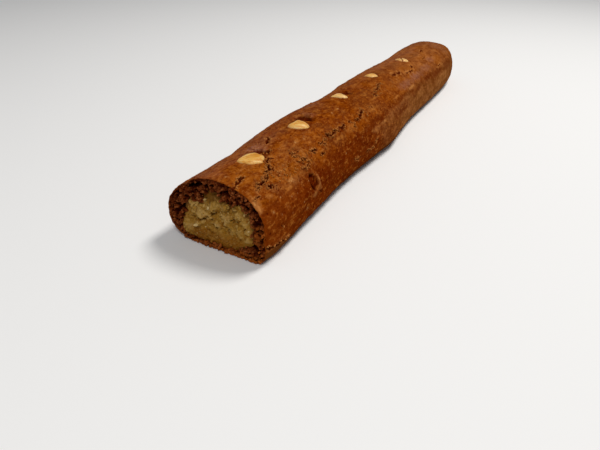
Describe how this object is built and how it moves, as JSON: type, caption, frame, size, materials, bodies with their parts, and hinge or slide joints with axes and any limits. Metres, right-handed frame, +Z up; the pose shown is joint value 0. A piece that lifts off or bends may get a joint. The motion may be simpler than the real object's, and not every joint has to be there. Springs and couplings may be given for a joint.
{
  "type": "filled speculaas bar",
  "caption": "Long spiced biscuit roll with a D-shaped section and a flat base, filled with almond paste, sliced across at one end, with almond halves pressed into its top.",
  "frame": {"origin": "middle of the flat base, under the middle of the whole", "axes": "+X along the bar, from the cut end to the closed end; +Z up; the flat base is at Z = 0"},
  "size_m": [0.3275, 0.0559, 0.0363],
  "materials": {
    "speculaas": "satin baked skin, golden to reddish brown",
    "almond_paste": "matt, granular, khaki beige",
    "blanched_almond": "satin, pale amber"
  },
  "bodies": {
    "root": {"crust": "speculaas", "filling": "almond_paste", "almond_1": "blanched_almond", "almond_2": "blanched_almond", "almond_3": "blanched_almond", "almond_4": "blanched_almond", "almond_5": "blanched_almond"}
  },
  "joints": []
}
